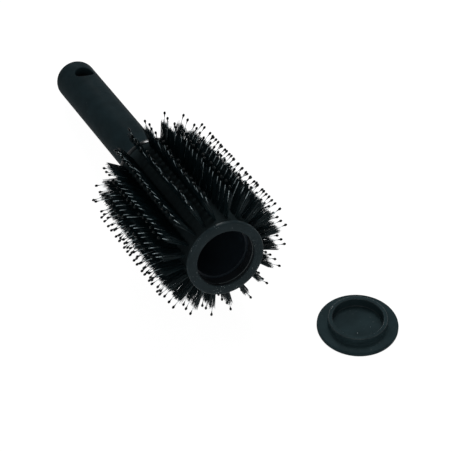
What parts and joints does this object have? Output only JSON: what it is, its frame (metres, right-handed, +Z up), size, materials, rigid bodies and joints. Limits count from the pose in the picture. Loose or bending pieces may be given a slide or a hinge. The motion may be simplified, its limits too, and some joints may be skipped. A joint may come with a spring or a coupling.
{
  "type": "styling brush with hidden compartment",
  "caption": "Round styling brush whose hollow barrel opens at its end as a hidden compartment, lying with its press-in cap beside it.",
  "frame": {"origin": "on the surface that the brush and its cap lie on, under the middle of the whole", "axes": "+Z up, -Y the way the mouth points (raised 10.8 degrees), +Y towards the handle's end, +X towards the side where the cap lies"},
  "size_m": [0.1264, 0.2758, 0.0908],
  "materials": {
    "grip_soft_touch": "satin soft-touch coating",
    "core_plastic": "plain moulded",
    "ring_plastic": "satin moulded",
    "cap_plastic": "satin moulded",
    "liner_plastic": "plain moulded",
    "barrel_plastic": "plain moulded",
    "end_cap_plastic": "smooth moulded",
    "bristle_nylon": "nylon strands on a smooth moulded sleeve",
    "screw_steel": "zinc-plated"
  },
  "bodies": {
    "brush": {"mouth_ring": "ring_plastic", "compartment_liner": "liner_plastic", "barrel_tube": "barrel_plastic", "rear_end_cap": "end_cap_plastic", "handle_screw": "screw_steel", "screw_washer": "screw_steel", "handle_core": "core_plastic", "handle_grip": "grip_soft_touch", "bristle_panel_1": "bristle_nylon", "bristle_panel_2": "bristle_nylon", "bristle_panel_3": "bristle_nylon", "bristle_panel_4": "bristle_nylon"},
    "cap": {"cap": "cap_plastic"}
  },
  "joints": [
    {"name": "cap_lift", "type": "slide", "parent": "brush", "child": "cap", "axis": [0, 0, 1], "range_m": [0, 0.1]}
  ]
}
